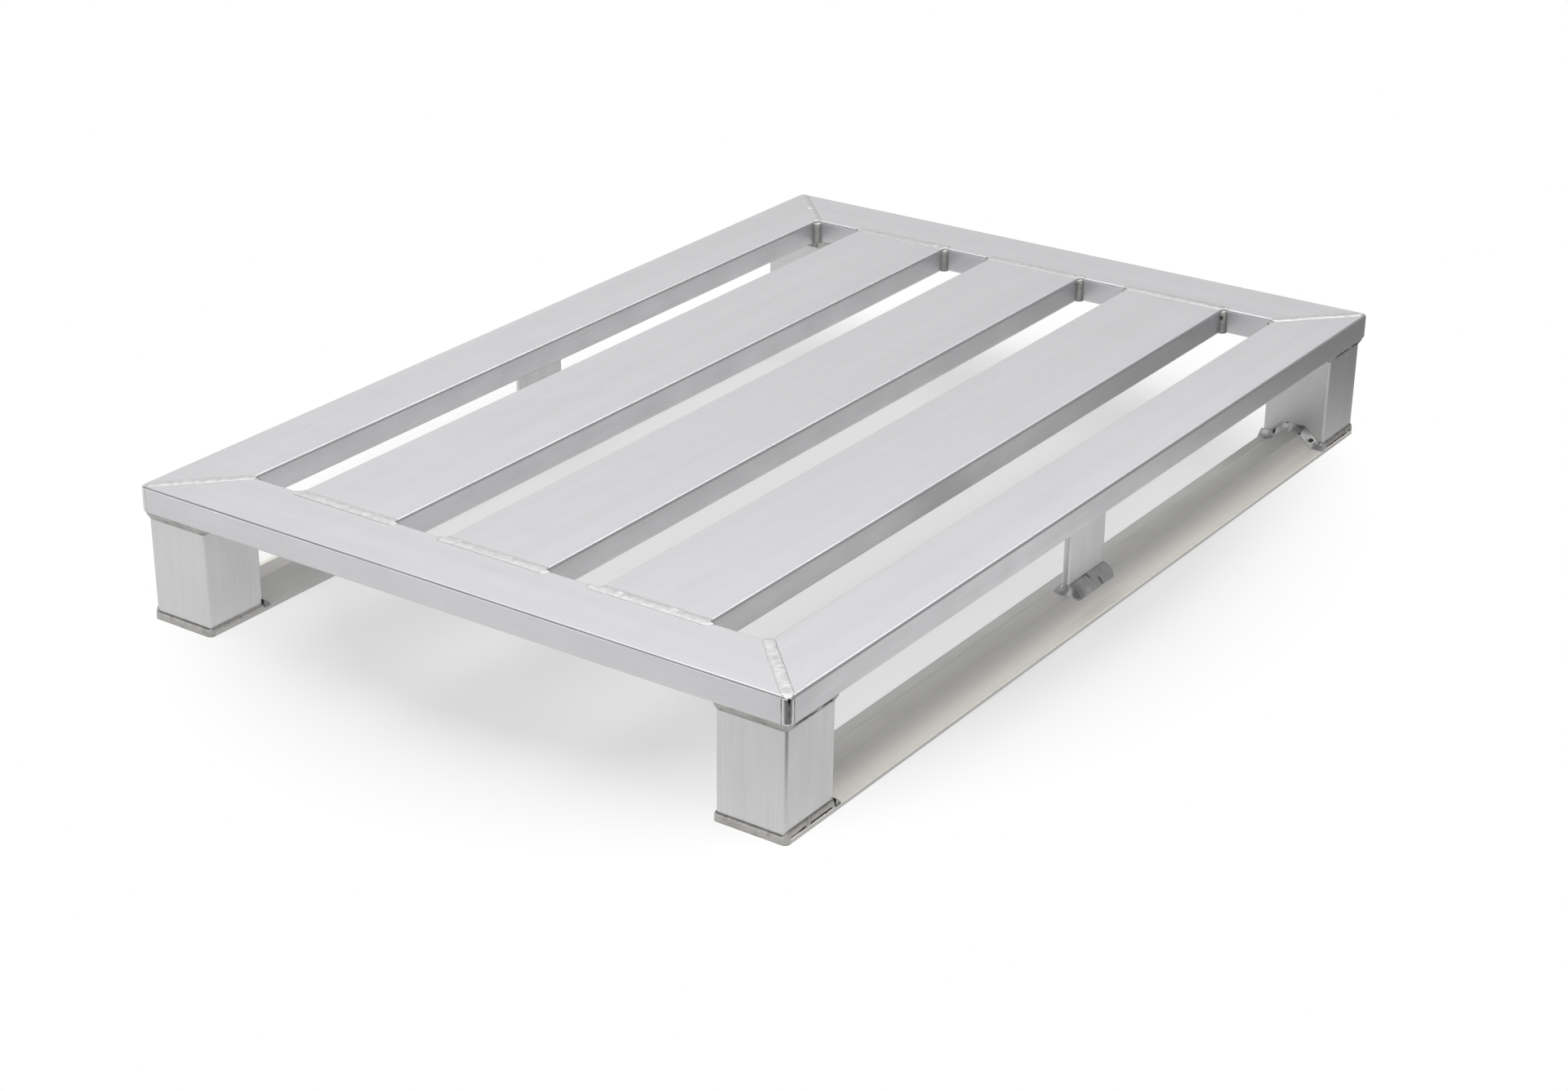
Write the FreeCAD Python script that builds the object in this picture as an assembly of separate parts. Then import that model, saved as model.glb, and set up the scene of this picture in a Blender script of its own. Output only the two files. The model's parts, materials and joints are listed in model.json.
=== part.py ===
import FreeCAD, Part
import math
import os

from FreeCAD import Vector

# A welded aluminium pallet: a mitred tube frame with three slats, on four
# tube legs and two flat-bar legs that stand on two long runners.
# X runs along the slats from front to rear, Y from the right side to the
# left, Z up from the floor. All sizes are in millimetres.

# Overall size
length = 1200.0
width = 800.0
height = 150.0

# Deck tubes and slats, all of one depth
deck_depth = 29.0
side_tube_width = 80.0
end_tube_width = 84.0
slat_width = 127.0
slat_count = 3
tube_wall = 3.0
tube_edge_radius = 3.0
deck_corner_radius = 7.0

# Corner legs, square tubes set in under the deck
leg_size = 77.0
leg_inset = 5.5
leg_wall = 4.0
leg_edge_radius = 3.0

# Middle legs, flat bars on the ridges of the runners
bar_width = 76.0
bar_thickness = 8.0
bar_edge_radius = 2.5
bar_offset = 10.0

# Runners, extrusions with thin flanges and a hollow ridge
runner_width = 82.0
runner_inset = 3.0
flange_thickness = 5.0
ridge_height = 20.0
ridge_top_width = 22.0
ridge_slope = 45.0
ridge_wall = 4.0
ridge_root_radius = 10.0
ridge_crest_radius = 2.0
lip_radius = 1.0

# Butt beads on the deck, set into the tubes and a little proud of them
slat_bead_width = 14.0
slat_bead_shift = 2.0
slat_bead_overrun = 4.0
mitre_bead_width = 12.0
mitre_bead_overrun = 3.0
bead_proud = 1.0
bead_root = 2.0
bead_end_bevel = 4.0

# Upright beads in the deck's corners
corner_bead_reach = 9.0
corner_bead_depth = 2.5
inner_bead_radius = 7.0
slat_corner_bead_radius = 6.0
bead_top_drop = 1.0

# Fillet beads round the legs, as reach on the level and height on the leg
leg_top_bead_reach = 4.6
leg_top_bead_height = 8.0
leg_foot_bead_height = 8.0
arch_bead_reach = 8.0
arch_bead_height = 8.0
bar_top_bead_reach = 5.0
bar_top_bead_height = 5.0
bar_foot_bead_reach = 12.0
bar_foot_bead_height = 8.0
bead_toe = 0.3
crevice_height = 1.2
crevice_length = 60.0

# Levels and places that follow from the sizes
deck_bottom = height - deck_depth
front = -length / 2
right = -width / 2
front_joint = front + end_tube_width
right_joint = right + side_tube_width
slat_length = length - 2 * end_tube_width
clear_width = width - 2 * side_tube_width
slat_gap = (clear_width - slat_count * slat_width) / (slat_count + 1)
runner_axis = right + runner_inset + runner_width / 2
runner_end = front + leg_inset + leg_wall
leg_x = front + leg_inset + leg_size / 2
leg_y = right + leg_inset + leg_size / 2
leg_inner_face = leg_x + leg_size / 2

# Flat cut that stands in for a round edge, as a share of its radius
bevel_share = 2 - math.sqrt(2)


def block(low, high):
    """Box between two corners."""
    size = high - low
    return Part.makeBox(size.x, size.y, size.z, low)


def polygon(points):
    """Closed wire of straight edges."""
    return Part.makePolygon(points + points[:1])


def rounded_wire(corners):
    """Closed wire through (point, radius) corners, turned by tangent arcs."""
    ends = []
    count = len(corners)
    for i, (point, radius) in enumerate(corners):
        back = (corners[i - 1][0] - point).normalize()
        ahead = (corners[(i + 1) % count][0] - point).normalize()
        half = back.getAngle(ahead) / 2
        reach = radius / math.tan(half)
        middle = (back + ahead).normalize() * (radius / math.sin(half) - radius)
        ends.append((point + back * reach, point + middle, point + ahead * reach))
    edges = []
    for i, (start, middle, end) in enumerate(ends):
        if corners[i][1] > 0:
            edges.append(Part.Arc(start, middle, end).toShape())
        edges.append(Part.makeLine(end, ends[(i + 1) % count][0]))
    return Part.Wire(edges)


def rectangle(centre, half_u, half_v, radius):
    """Rounded rectangle wire about a centre, spanned by two half sides."""
    turns = ((-1, -1), (1, -1), (1, 1), (-1, 1))
    return rounded_wire([(centre + half_u * u + half_v * v, radius) for u, v in turns])


def prism(wire, path):
    """Solid swept straight from a flat wire."""
    return Part.Face(wire).extrude(path)


def level_outline(x, y, z, size_x, size_y, radius):
    """Rounded rectangle in a level plane."""
    return rectangle(Vector(x, y, z), Vector(size_x / 2, 0, 0), Vector(0, size_y / 2, 0), radius)


def cut_corner_points(x, y, z, size_x, size_y, bevel):
    """Points of a level rectangle with its corners cut off, all one way round."""
    points = []
    for u, v in ((-1, -1), (1, -1), (1, 1), (-1, 1)):
        on_x_side = Vector(x + u * (size_x / 2 - bevel), y + v * size_y / 2, z)
        on_y_side = Vector(x + u * size_x / 2, y + v * (size_y / 2 - bevel), z)
        points += [on_y_side, on_x_side] if u == v else [on_x_side, on_y_side]
    return points


def stack(rings):
    """Flat-sided solid through rings of as many points each."""
    faces = [Part.Face(polygon(rings[0])), Part.Face(polygon(rings[-1]))]
    for ring, following in zip(rings, rings[1:]):
        for i in range(len(ring)):
            faces.append(Part.Face(polygon([ring[i - 1], ring[i], following[i], following[i - 1]])))
    return Part.Solid(Part.Shell(faces))


def collar(x, y, size_x, size_y, radius, rings):
    """Bead round an upright of the given section, through (z, offset) rings."""
    outlines = []
    for z, offset in rings:
        bevel = (radius + offset) * bevel_share
        outlines.append(cut_corner_points(x, y, z, size_x + 2 * offset, size_y + 2 * offset, bevel))
    return stack(outlines)


def butt_bead(start, end, bead_width):
    """Lens-shaped bead on the deck's top, tapered in plan past both points."""
    half = bead_width / 2
    run = end - start
    whole = run.Length + bead_width
    crown = Part.Arc(Vector(-half, -half, 0), Vector(-half, 0, bead_proud), Vector(-half, half, 0))
    root = Part.Arc(Vector(-half, half, 0), Vector(-half, 0, -bead_root), Vector(-half, -half, 0))
    lens = prism(Part.Wire([crown.toShape(), root.toShape()]), Vector(whole, 0, 0))
    plan = cut_corner_points(run.Length / 2, 0, -bead_root, whole, bead_width, bead_end_bevel)
    bead = lens.common(prism(polygon(plan), Vector(0, 0, bead_proud + bead_root)))
    bead.rotate(Vector(), Vector(0, 0, 1), math.degrees(math.atan2(run.y, run.x)))
    bead.translate(start)
    return bead


def side_tube_envelope():
    """Right side tube as a full bar with its mitred ends."""
    middle = Vector(front, right + side_tube_width / 2, height - deck_depth / 2)
    section = rectangle(
        middle, Vector(0, side_tube_width / 2, 0), Vector(0, 0, deck_depth / 2), tube_edge_radius
    )
    return prism(section, Vector(length, 0, 0)).common(side_mitre_plan())


def side_mitre_plan():
    """Plan of the right side tube, mitred into both end tubes."""
    points = [
        Vector(front, right, deck_bottom),
        Vector(-front, right, deck_bottom),
        Vector(-front_joint, right_joint, deck_bottom),
        Vector(front_joint, right_joint, deck_bottom),
    ]
    return prism(polygon(points), Vector(0, 0, deck_depth))


def end_tube_envelope():
    """Front end tube as a full bar with its mitred ends."""
    middle = Vector(front + end_tube_width / 2, right, height - deck_depth / 2)
    section = rectangle(
        middle, Vector(end_tube_width / 2, 0, 0), Vector(0, 0, deck_depth / 2), tube_edge_radius
    )
    return prism(section, Vector(0, width, 0)).common(end_mitre_plan())


def end_mitre_plan():
    """Plan of the front end tube, mitred into both side tubes."""
    points = [
        Vector(front, right, deck_bottom),
        Vector(front, -right, deck_bottom),
        Vector(front_joint, -right_joint, deck_bottom),
        Vector(front_joint, right_joint, deck_bottom),
    ]
    return prism(polygon(points), Vector(0, 0, deck_depth))


def slat_envelope(y):
    """One slat as a full bar between the end tubes."""
    section = rectangle(
        Vector(front_joint, y, height - deck_depth / 2),
        Vector(0, slat_width / 2, 0),
        Vector(0, 0, deck_depth / 2),
        tube_edge_radius,
    )
    return prism(section, Vector(slat_length, 0, 0))


def slat_places():
    """Y of each slat's middle, from the right side to the left."""
    first = right_joint + slat_gap + slat_width / 2
    return [first + i * (slat_gap + slat_width) for i in range(slat_count)]


def bore(x_range, y_range):
    """Hollow inside a deck tube, between two spans in plan."""
    low = Vector(x_range[0], y_range[0], deck_bottom + tube_wall)
    high = Vector(x_range[1], y_range[1], height - tube_wall)
    return block(low, high)


def runner_points(x, offset):
    """Runner's outline at x, with its top side moved out by an offset."""
    slope = math.radians(ridge_slope)
    edge_half = runner_width / 2
    top_half = ridge_top_width / 2 + offset * math.tan(slope / 2)
    root_half = top_half + (ridge_height - flange_thickness) / math.tan(slope)
    half = [(edge_half, 0), (edge_half, flange_thickness + offset)]
    half += [(root_half, flange_thickness + offset), (top_half, ridge_height + offset)]
    outline = [(-y, z) for y, z in half] + half[::-1]
    return [Vector(x, runner_axis + y, z) for y, z in outline]


def runner_envelope():
    """Right runner as a full bar from leg wall to leg wall."""
    radii = [0, lip_radius, ridge_root_radius, ridge_crest_radius]
    corners = list(zip(runner_points(runner_end, 0), radii + radii[::-1]))
    return prism(rounded_wire(corners), Vector(-2 * runner_end, 0, 0))


def runner_bore():
    """Hollow under the runner's ridge."""
    slope = math.radians(ridge_slope)
    crest = ridge_height - ridge_wall
    top_half = ridge_top_width / 2 + ridge_wall / math.tan(slope) - ridge_wall / math.sin(slope)
    foot_half = top_half + (crest - flange_thickness) / math.tan(slope)
    half = [(foot_half, flange_thickness), (top_half, crest)]
    outline = [(-y, z) for y, z in half] + half[::-1]
    points = [Vector(runner_end, runner_axis + y, z) for y, z in outline]
    return prism(polygon(points), Vector(-2 * runner_end, 0, 0))


def leg_envelope():
    """Front right leg as a full post from the floor to the deck."""
    section = level_outline(leg_x, leg_y, 0, leg_size, leg_size, leg_edge_radius)
    return prism(section, Vector(0, 0, deck_bottom))


def leg(runner):
    """Front right leg, its walls coped over the runner that ends inside it."""
    inside = leg_size / 2 - leg_wall
    low = Vector(leg_x - inside, leg_y - inside, 0)
    high = Vector(leg_x + inside, leg_y + inside, deck_bottom)
    return leg_envelope().cut(block(low, high)).cut(runner)


def bar_envelope():
    """Right middle leg, a flat bar with rounded edges on the ridge."""
    section = level_outline(bar_offset, runner_axis, ridge_height, bar_width, bar_thickness, bar_edge_radius)
    return prism(section, Vector(0, 0, deck_bottom - ridge_height))


def corner_zone():
    """Skin at the deck's front right corner that the upright bead replaces."""
    reach = Vector(corner_bead_reach, corner_bead_reach, deck_depth)
    depth = Vector(corner_bead_depth, corner_bead_depth, 0)
    low = Vector(front, right, deck_bottom)
    core = block(low + depth, low + reach - Vector(0, 0, corner_bead_depth))
    return block(low, low + reach).cut(core)


def rounded_corner():
    """Front right corner of the deck, rounded in plan, its edges bevelled."""
    low = Vector(front, right, deck_bottom)
    size = Vector(end_tube_width, side_tube_width, deck_depth)
    blank = block(low, low + size)
    upright = [e for e in blank.Edges if is_upright(e) and near_corner(e, tube_edge_radius)]
    blank = blank.makeFillet(deck_corner_radius, upright)
    rims = [e for e in blank.Edges if not is_upright(e) and on_outer_face(e)]
    return blank.makeChamfer(tube_edge_radius * bevel_share, rims)


def is_upright(edge):
    """True for a vertical edge."""
    return edge.BoundBox.ZLength > deck_depth / 2


def near_corner(edge, reach):
    """True for an edge at the deck's front right corner."""
    middle = edge.BoundBox.Center
    return middle.x < front + reach and middle.y < right + reach


def on_outer_face(edge):
    """True for an edge along the deck's front or right face."""
    middle = edge.BoundBox.Center
    return middle.x < front + deck_corner_radius or middle.y < right + deck_corner_radius


def mitre_run():
    """Start and end of the bead along the front right mitre."""
    outer = Vector(front, right, height)
    inner = Vector(front_joint, right_joint, height)
    heading = (inner - outer).normalize()
    start = outer + heading * (deck_corner_radius + mitre_bead_width / 2)
    return start, inner + heading * (mitre_bead_overrun - mitre_bead_width / 2)


def upright_bead(x, y, radius):
    """Round bead in an inner corner of the deck, full depth."""
    top = height - bead_top_drop
    return Part.makeCylinder(radius, top - deck_bottom, Vector(x, y, deck_bottom))


def inner_bead():
    """Round bead in the opening's corner, between the two tubes' faces."""
    bead = upright_bead(front_joint, right_joint, inner_bead_radius)
    low = Vector(front_joint, right_joint, deck_bottom)
    return bead.common(block(low, low + Vector(inner_bead_radius, inner_bead_radius, deck_depth)))


def inner_bead_space():
    """Space of the inner bead and of the tubes' rounded edges beside it."""
    reach = Vector(inner_bead_radius, inner_bead_radius, 0)
    corner = Vector(front_joint, right_joint, deck_bottom)
    return block(corner - reach, corner + reach + Vector(0, 0, deck_depth))


def butt_groove(y):
    """Groove that a slat's bead fills beside the end tube's rounded edge."""
    half = slat_width / 2 - tube_edge_radius
    low = Vector(front_joint - tube_edge_radius, y - half, height - tube_edge_radius)
    high = Vector(front_joint, y + half, height)
    return block(low, high)


def slat_bead_at(y):
    """Butt bead over the joint of one slat with the front end tube."""
    half = (slat_width - slat_bead_width) / 2 + slat_bead_overrun
    x = front_joint - slat_bead_shift
    return butt_bead(Vector(x, y - half, height), Vector(x, y + half, height), slat_bead_width)


def slat_weld(y, bars):
    """All the weld at one slat's front end."""
    groove = butt_groove(y).cut(bars)
    corners = []
    for side in (-1, 1):
        bead = upright_bead(front_joint, y + side * slat_width / 2, slat_corner_bead_radius)
        corners.append(bead.cut(bars))
    return slat_bead_at(y).fuse([groove] + corners).removeSplitter()


def mitre_weld():
    """All the weld of the front right mitre: top, outer and inner corner."""
    outer = rounded_corner().common(corner_zone())
    top = butt_bead(*mitre_run(), mitre_bead_width)
    return top.fuse([outer, inner_bead()]).removeSplitter()


def leg_top_weld(bars):
    """Fillet bead round the top of the front right leg, under the deck."""
    reach = leg_top_bead_reach
    foot = deck_bottom - leg_top_bead_height
    rings = [
        (foot, bead_toe),
        (deck_bottom - leg_top_bead_height / 4, reach * 0.8),
        (deck_bottom, reach),
        (deck_bottom + tube_edge_radius, reach * 0.7),
    ]
    bead = collar(leg_x, leg_y, leg_size, leg_size, leg_edge_radius, rings)
    face = leg_y - leg_size / 2
    start = Vector(leg_x - crevice_length / 2, face - reach, foot + leg_top_bead_height / 2)
    slot = block(start, start + Vector(crevice_length, reach, crevice_height))
    return bead.cut(bars).cut([inner_bead_space(), corner_zone(), slot]).removeSplitter()


def leg_foot_weld(post, runner):
    """Fillet bead round the foot of the front right leg and over the runner."""
    ledge = leg_inset - runner_inset
    top = leg_foot_bead_height
    rings = [(0, ledge), (top * 0.7, ledge), (top, ledge * 0.7), (top + ledge / 2, bead_toe)]
    ring = collar(leg_x, leg_y, leg_size, leg_size, leg_edge_radius, rings)
    arch_start = runner_points(leg_inner_face, arch_bead_height)
    arch_end = runner_points(leg_inner_face + arch_bead_reach, bead_toe)
    return ring.fuse(stack([arch_start, arch_end])).cut(post).cut(runner).removeSplitter()


def bar_top_weld(bar):
    """Fillet bead round the top of the right middle leg."""
    rings = [
        (deck_bottom - bar_top_bead_height, bead_toe),
        (deck_bottom - bar_top_bead_height / 4, bar_top_bead_reach * 0.8),
        (deck_bottom, bar_top_bead_reach),
    ]
    bead = collar(bar_offset, runner_axis, bar_width, bar_thickness, bar_edge_radius, rings)
    return bead.cut(bar)


def bar_foot_weld(bar, runner):
    """Heavy bead round the foot of the right middle leg, down the ridge."""
    rings = [
        (ridge_height - bar_foot_bead_height * 0.8, bar_foot_bead_reach),
        (ridge_height + bar_foot_bead_height * 0.4, bar_foot_bead_reach * 0.45),
        (ridge_height + bar_foot_bead_height, bead_toe),
    ]
    bead = collar(bar_offset, runner_axis, bar_width, bar_thickness, bar_edge_radius, rings)
    return bead.cut(bar).cut(runner).removeSplitter()


def across(shape):
    """The same piece on the left side, mirrored."""
    return shape.mirror(Vector(), Vector(0, 1, 0))


def along(shape):
    """The same piece at the rear end, mirrored."""
    return shape.mirror(Vector(), Vector(1, 0, 0))


def turned(shape):
    """The same piece turned half round the pallet's upright axis."""
    copy = shape.copy()
    copy.rotate(Vector(), Vector(0, 0, 1), 180)
    return copy


def at_corners(name, shape):
    """A front right piece and its mirrored copies at the other corners."""
    return {
        name + "_front_right": shape,
        name + "_front_left": across(shape),
        name + "_rear_right": along(shape),
        name + "_rear_left": along(across(shape)),
    }


def build():
    """Every node of the pallet, by name."""
    side_bar = side_tube_envelope()
    end_bar = end_tube_envelope()
    runner_bar = runner_envelope()
    post = leg_envelope()
    bar = bar_envelope()
    deck_bars = side_bar.fuse([end_bar, post])

    side_bore = bore((front, -front), (right + tube_wall, right_joint - tube_wall))
    end_bore = bore((front + tube_wall, front_joint - tube_wall), (right, -right))
    side_hollow = side_bore.common(side_mitre_plan())
    end_hollow = end_bore.common(end_mitre_plan())
    mitre_cut = butt_bead(*mitre_run(), mitre_bead_width).fuse(corner_zone())
    mitre_cuts = [mitre_cut, along(mitre_cut), across(mitre_cut), along(across(mitre_cut))]
    slat_cuts = [slat_bead_at(y) for y in slat_places()]

    side_tube = side_bar.cut(side_hollow).cut(mitre_cuts)
    end_tube = end_bar.cut(end_hollow).cut(mitre_cuts).cut(slat_cuts)
    runner = runner_bar.cut(runner_bore())
    foot_weld = leg_foot_weld(post, runner_bar)

    nodes = {
        "side_tube_right": side_tube,
        "side_tube_left": across(side_tube),
        "end_tube_front": end_tube,
        "end_tube_rear": along(end_tube),
        "runner_right": runner,
        "runner_left": across(runner),
        "middle_leg_right": bar,
        "middle_leg_left": turned(bar),
        "middle_leg_top_weld_right": bar_top_weld(bar),
        "middle_leg_top_weld_left": turned(bar_top_weld(bar)),
        "middle_leg_foot_weld_right": bar_foot_weld(bar, runner_bar),
        "middle_leg_foot_weld_left": turned(bar_foot_weld(bar, runner_bar)),
    }
    nodes.update(at_corners("leg", leg(runner_bar)))
    nodes.update(at_corners("mitre_weld", mitre_weld()))
    nodes.update(at_corners("leg_top_weld", leg_top_weld(deck_bars)))
    nodes.update(at_corners("leg_foot_weld", foot_weld))

    for number, y in enumerate(slat_places(), 1):
        slat_bar = slat_envelope(y)
        hollow_x = (front_joint, -front_joint)
        hollow_y = (y - slat_width / 2 + tube_wall, y + slat_width / 2 - tube_wall)
        ends = [slat_bead_at(y), along(slat_bead_at(y))]
        nodes["slat_%d" % number] = slat_bar.cut(bore(hollow_x, hollow_y)).cut(ends)
        weld = slat_weld(y, end_bar.fuse(slat_bar))
        nodes["slat_%d_front_weld" % number] = weld
        nodes["slat_%d_rear_weld" % number] = along(weld)
    return nodes


os.makedirs("parts", exist_ok=True)
for name, shape in build().items():
    shape.exportStep("parts/" + name + ".step")
    print(name, "solids", len(shape.Solids), "volume", round(shape.Volume), "valid", shape.isValid())
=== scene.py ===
# %% [markdown]
# # Welded aluminium pallet
# The real pallet is welded up from extruded bars: a frame of four tubes, three
# slats, six legs and two runners. The CAD frame brings all of them at their own
# size, so this script leaves their shapes alone. It gives each its mill finish,
# lays rippled weld beads over the joints, and sets the studio and the camera.
# The frame is loaded first.

# %% Load the frame
import json
import math

import bmesh
import bpy
import numpy as np
from mathutils import Euler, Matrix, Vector

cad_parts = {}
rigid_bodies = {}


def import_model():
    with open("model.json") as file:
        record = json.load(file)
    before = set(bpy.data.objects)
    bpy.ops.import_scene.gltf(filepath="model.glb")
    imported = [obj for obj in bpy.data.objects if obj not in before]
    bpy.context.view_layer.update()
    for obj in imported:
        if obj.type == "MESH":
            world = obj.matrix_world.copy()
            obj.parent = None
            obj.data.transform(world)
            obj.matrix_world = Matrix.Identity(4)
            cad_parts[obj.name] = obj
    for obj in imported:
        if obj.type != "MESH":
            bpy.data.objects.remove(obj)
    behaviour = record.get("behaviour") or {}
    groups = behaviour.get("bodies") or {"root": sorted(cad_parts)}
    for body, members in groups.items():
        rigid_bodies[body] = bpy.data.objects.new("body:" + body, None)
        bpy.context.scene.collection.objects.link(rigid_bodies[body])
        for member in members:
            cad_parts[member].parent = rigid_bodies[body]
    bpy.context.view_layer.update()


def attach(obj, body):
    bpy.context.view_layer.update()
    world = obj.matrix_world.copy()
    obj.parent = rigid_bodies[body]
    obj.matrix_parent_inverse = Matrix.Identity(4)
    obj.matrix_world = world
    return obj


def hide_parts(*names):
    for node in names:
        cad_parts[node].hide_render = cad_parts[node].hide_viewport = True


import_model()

scene = bpy.context.scene
nodes = sorted(o.name for o in scene.objects if o.type == "MESH")

# %% [markdown]
# ## Camera
# A camera can be placed by eye, but then the bars do not fall where the picture
# has them. So the place, the tilt and the lens were fitted by least squares to
# the corners of the deck, the slats and the feet. The shift only frames the
# picture, and depth of field stays off.

# %% Camera
camera_data = bpy.data.cameras.new("camera")
camera_data.sensor_width = 36.0
camera_data.lens = 65.66
camera_data.shift_x = 0.0677
camera = bpy.data.objects.new("camera", camera_data)
camera.location = (-2.4186, -1.62769, 1.29767)
camera.rotation_euler = Euler([math.radians(a) for a in (65.4599, 0.2842, -53.6109)])
scene.collection.objects.link(camera)
scene.camera = camera
print("camera", [round(v, 3) for v in camera.location], "lens", camera_data.lens)

# %% [markdown]
# ## Helpers for materials
# A colour is easy to pick as sRGB hex, while a shader wants linear light, so one
# function turns the first into the second. Another adds any node, with its inputs
# and settings by name, which keeps every material short enough to read.

# %% Colours and nodes
def linear(hex_colour):
    """Linear RGBA of an sRGB hex colour."""
    parts = [int(hex_colour[i:i + 2], 16) / 255 for i in (1, 3, 5)]
    return [p / 12.92 if p <= 0.04045 else ((p + 0.055) / 1.055) ** 2.4 for p in parts] + [1.0]


def add_node(tree, kind, inputs=(), **settings):
    """Adds a node; a socket given as an input is linked, anything else is set."""
    node = tree.nodes.new(kind)
    for name, value in settings.items():
        setattr(node, name, value)
    for key, value in dict(inputs).items():
        socket = node.inputs[key]
        if isinstance(value, bpy.types.NodeSocket):
            tree.links.new(value, socket)
        else:
            socket.default_value = value
    return node


def new_material(name):
    """Empty material with its output node."""
    material = bpy.data.materials.new(name)
    material.use_nodes = True
    tree = material.node_tree
    tree.nodes.clear()
    return material, tree, tree.nodes.new("ShaderNodeOutputMaterial")


print("linear light of the mill grey", [round(c, 3) for c in linear("#CDCDCF")[:3]])

# %% [markdown]
# ## Painted light on the runner's lip
# Each runner's outer flange gets paler toward its lip, on its upper face alone.
# This is painted light. A lamp could be aimed at it, but it would light the floor
# too. A paler colour, blended in over the last 24 mm, stands in for that light and
# stays on the metal from every side.

# %% Painted light on the lip
LIP_START, LIP_END = 0.368, 0.392     # metres out from the pallet's middle line
EDGE_TOP, FACE_START = 0.0032, 0.0045  # metres up, where the lip's edge ends


def with_painted_lip_light(tree, place, tint, lip_light_colour):
    """Colour that turns to the lip's painted light toward the outer edge of a runner."""
    split = add_node(tree, "ShaderNodeSeparateXYZ", {0: place}).outputs
    outward = add_node(tree, "ShaderNodeMath", {0: split["Y"]}, operation="ABSOLUTE")
    toward_lip = add_node(tree, "ShaderNodeMapRange", {
        "Value": outward.outputs[0], "From Min": LIP_START, "From Max": LIP_END,
        "To Min": 0.0, "To Max": 1.0}, interpolation_type="SMOOTHSTEP")
    above_edge = add_node(tree, "ShaderNodeMapRange", {
        "Value": split["Z"], "From Min": EDGE_TOP, "From Max": FACE_START,
        "To Min": 0.0, "To Max": 1.0})
    # Where the lip's painted light shows: near the outer edge, on the upper face.
    lip = add_node(tree, "ShaderNodeMath", {
        0: toward_lip.outputs[0], 1: above_edge.outputs[0]}, operation="MULTIPLY")
    return add_node(tree, "ShaderNodeMix", {
        "Factor": lip.outputs[0], "A": tint, "B": linear(lip_light_colour)},
        data_type="RGBA").outputs[2]


print("lip", round((LIP_END - LIP_START) * 1000), "mm wide")

# %% [markdown]
# ## Mill-finish aluminium
# The bars are extruded aluminium, left as they came from the die. To the eye that
# is a pale satin metal: a lamp shows in it as a soft patch with no edge, over fine
# lines along the bar and broad, faint bands from the die.
# A picture could be wrapped round each bar, but noise in the object's own
# coordinates, which are metres in the frame, needs no unwrapping. Fine across the
# bar and long along it, the same noise makes lines, bands and clouds.
# The real lines lie about 0.1 mm apart, which is too fine to show here, so they
# are drawn 1.2 mm apart.

# %% Mill finish
LINE_MM = 1.2            # spacing of the draw lines
LINE_LENGTHS = 60        # a line is this many times as long as it is wide
BANDS_ACROSS = 45        # die bands in a metre across the bar, each about 22 mm
BANDS_ALONG = 1.2        # and in a metre along it, each about 830 mm
CLOUD_MM = 62.5          # size of the faint clouds that storage leaves
LINE_DARKNESS = 0.9      # share of the colour that is left in the darkest lines
LINE_DEPTH = 0.00006     # metres, for the bump


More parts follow.
